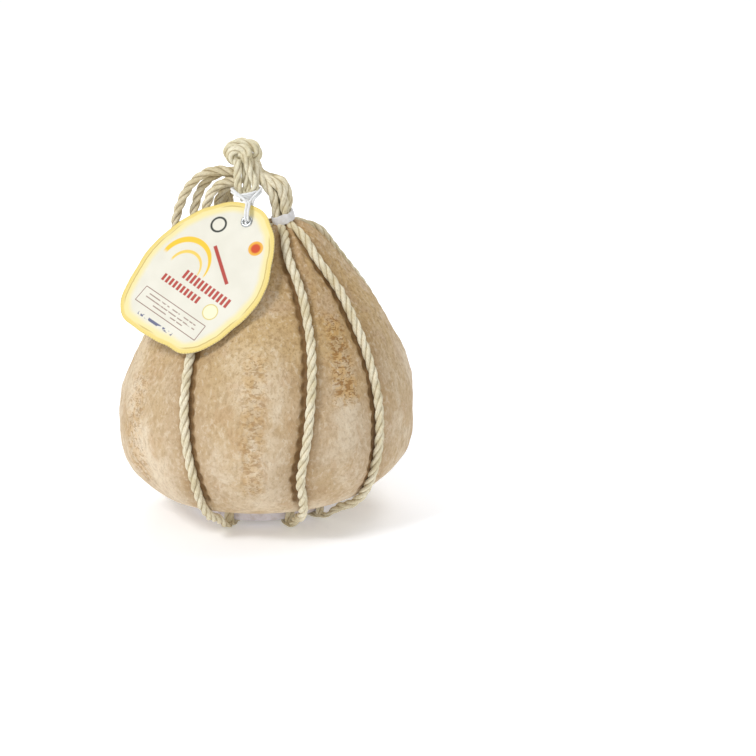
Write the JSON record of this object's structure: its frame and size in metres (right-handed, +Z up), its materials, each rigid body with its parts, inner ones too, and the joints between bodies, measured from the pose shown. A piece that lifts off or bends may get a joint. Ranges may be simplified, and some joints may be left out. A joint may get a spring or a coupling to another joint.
{
  "type": "provolone cheese",
  "caption": "Whole pear-shaped aged cheese in a rope harness, with a base ring, a banded neck, a top knot with hanging loops, and a blank card tag on an eyelet.",
  "frame": {"origin": "on the floor below the centre of the whole outline", "axes": "+Z up through the neck, -Y the front with the tag, +X to the right as seen from the front"},
  "size_m": [0.18, 0.1828, 0.2289],
  "materials": {
    "rind": "dry aged cheese rind, matt with a faint waxy sheen",
    "rope": "twisted natural fibre rope, cream",
    "ring": "smooth pale grey plastic",
    "band": "off-white woven tape",
    "card": "semi-matt printed card with a pale yellow border",
    "eyelet": "satin pressed metal",
    "tie": "white cord"
  },
  "bodies": {
    "root": {"cheese": "rind", "base_ring": "ring", "rope_1": "rope", "rope_2": "rope", "rope_3": "rope", "rope_4": "rope", "rope_5": "rope", "rope_6": "rope", "rope_7": "rope", "rope_8": "rope", "hitch_1": "rope", "hitch_2": "rope", "hitch_3": "rope", "hitch_4": "rope", "hitch_5": "rope", "hitch_6": "rope", "hitch_7": "rope", "hitch_8": "rope", "neck_band": "band", "top_knot": "rope", "hang_loop_1": "rope", "hang_loop_2": "rope", "hang_loop_3": "rope", "tag_loop": "rope", "tag": "card", "eyelet": "eyelet", "tag_tie": "tie"}
  },
  "joints": []
}
